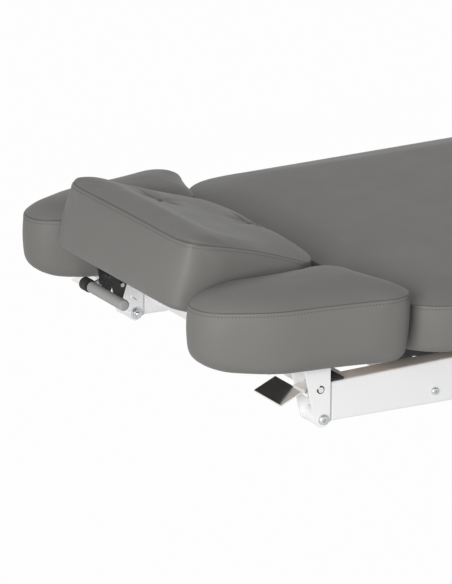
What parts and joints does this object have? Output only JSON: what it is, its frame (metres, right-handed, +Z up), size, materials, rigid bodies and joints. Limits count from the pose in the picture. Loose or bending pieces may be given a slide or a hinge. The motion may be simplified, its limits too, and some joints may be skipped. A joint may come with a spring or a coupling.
{
  "type": "spa treatment bed",
  "caption": "Padded treatment bed with a tilting headrest between drop armrests, on tapered rails and a foot-pumped lift column.",
  "frame": {"origin": "on the floor under the middle of the bed", "axes": "+X towards the foot end, +Z up"},
  "size_m": [1.9, 0.676, 0.8263],
  "materials": {
    "grey_vinyl": "soft grained upholstery vinyl",
    "plywood": "sealed plywood",
    "white_coat": "white powder coat",
    "black_coat": "black coat",
    "bright_steel": "bright steel",
    "chrome": "polished chrome",
    "zinc": "zinc plated",
    "grey_foam": "foam sleeve",
    "black_rubber": "black rubber"
  },
  "bodies": {
    "base": {"base_spine": "white_coat", "base_crossbar_head": "white_coat", "base_crossbar_foot": "white_coat", "foot_head_near": "black_rubber", "foot_head_far": "black_rubber", "foot_foot_near": "black_rubber", "foot_foot_far": "black_rubber", "column_outer": "white_coat", "column_collar": "black_rubber", "lift_cylinder": "black_coat", "pump_block": "black_coat"},
    "pedal": {"pump_pedal": "bright_steel", "pedal_pad": "black_rubber"},
    "carriage": {"column_inner": "bright_steel", "column_glide": "black_rubber", "lift_ram": "bright_steel", "saddle_plate": "white_coat", "saddle_beam_head": "white_coat", "saddle_beam_foot": "white_coat", "rail_near": "white_coat", "rail_far": "white_coat", "rail_lug_near": "white_coat", "rail_lug_far": "white_coat", "rail_bumper_near": "black_rubber", "rail_bumper_far": "black_rubber", "rail_end_cap_near": "black_rubber", "rail_end_cap_far": "black_rubber", "rail_screw_near": "zinc", "rail_screw_far": "zinc", "cross_member_head": "white_coat", "cross_member_foot": "white_coat", "body_board": "plywood", "body_cushion": "grey_vinyl", "board_spacer_head_near": "black_rubber", "board_spacer_head_far": "black_rubber", "board_spacer_foot_near": "black_rubber", "board_spacer_foot_far": "black_rubber", "headrest_crossbar": "white_coat", "headrest_hinge_rod": "bright_steel"},
    "headrest": {"headrest_cushion": "grey_vinyl", "headrest_board": "plywood", "headrest_hinge_leaf_near": "black_coat", "headrest_hinge_leaf_far": "black_coat", "headrest_bracket": "black_coat"},
    "handle": {"handle_lever": "bright_steel", "handle_grip": "grey_foam", "handle_end_cap": "black_rubber"},
    "armrest_near": {"armrest_cushion_near": "grey_vinyl", "armrest_board_near": "plywood", "armrest_bracket_near": "white_coat", "pivot_bolt_near": "zinc", "pivot_nut_near": "zinc"},
    "paddle_near": {"release_paddle_near": "chrome"},
    "armrest_far": {"armrest_cushion_far": "grey_vinyl", "armrest_board_far": "plywood", "armrest_bracket_far": "white_coat", "pivot_bolt_far": "zinc", "pivot_nut_far": "zinc"},
    "paddle_far": {"release_paddle_far": "chrome"}
  },
  "joints": [
    {"name": "lift", "type": "slide", "parent": "base", "child": "carriage", "axis": [0, 0, 1], "range_m": [-0.1, 0.18]},
    {"name": "pedal_pump", "type": "hinge", "parent": "base", "child": "pedal", "pos_m": [0.147, 0, 0.1356], "axis": [1, 0, 0], "range_deg": [0, 18], "stiffness_Nm_per_rad": 15, "springref_deg": -22.92},
    {"name": "headrest_tilt", "type": "hinge", "parent": "carriage", "child": "headrest", "pos_m": [-0.7343, 0, 0.6589], "axis": [0, 1, 0], "range_deg": [-55, 9]},
    {"name": "handle_pull", "type": "hinge", "parent": "headrest", "child": "handle", "pos_m": [-0.86283, 0.13, 0.67753], "axis": [0, 1, 0], "range_deg": [0, 16], "stiffness_Nm_per_rad": 0.5, "springref_deg": -22.92},
    {"name": "armrest_drop_near", "type": "hinge", "parent": "carriage", "child": "armrest_near", "pos_m": [-0.774, -0.2545, 0.585], "axis": [0, 1, 0], "range_deg": [-40, 0]},
    {"name": "paddle_lift_near", "type": "hinge", "parent": "armrest_near", "child": "paddle_near", "pos_m": [-0.778, -0.2545, 0.628], "axis": [0, 1, 0], "range_deg": [0, 15], "stiffness_Nm_per_rad": 0.6, "springref_deg": -17.19},
    {"name": "armrest_drop_far", "type": "hinge", "parent": "carriage", "child": "armrest_far", "pos_m": [-0.774, 0.2545, 0.585], "axis": [0, 1, 0], "range_deg": [-40, 0]},
    {"name": "paddle_lift_far", "type": "hinge", "parent": "armrest_far", "child": "paddle_far", "pos_m": [-0.778, 0.2545, 0.628], "axis": [0, 1, 0], "range_deg": [0, 15], "stiffness_Nm_per_rad": 0.6, "springref_deg": -17.19}
  ]
}
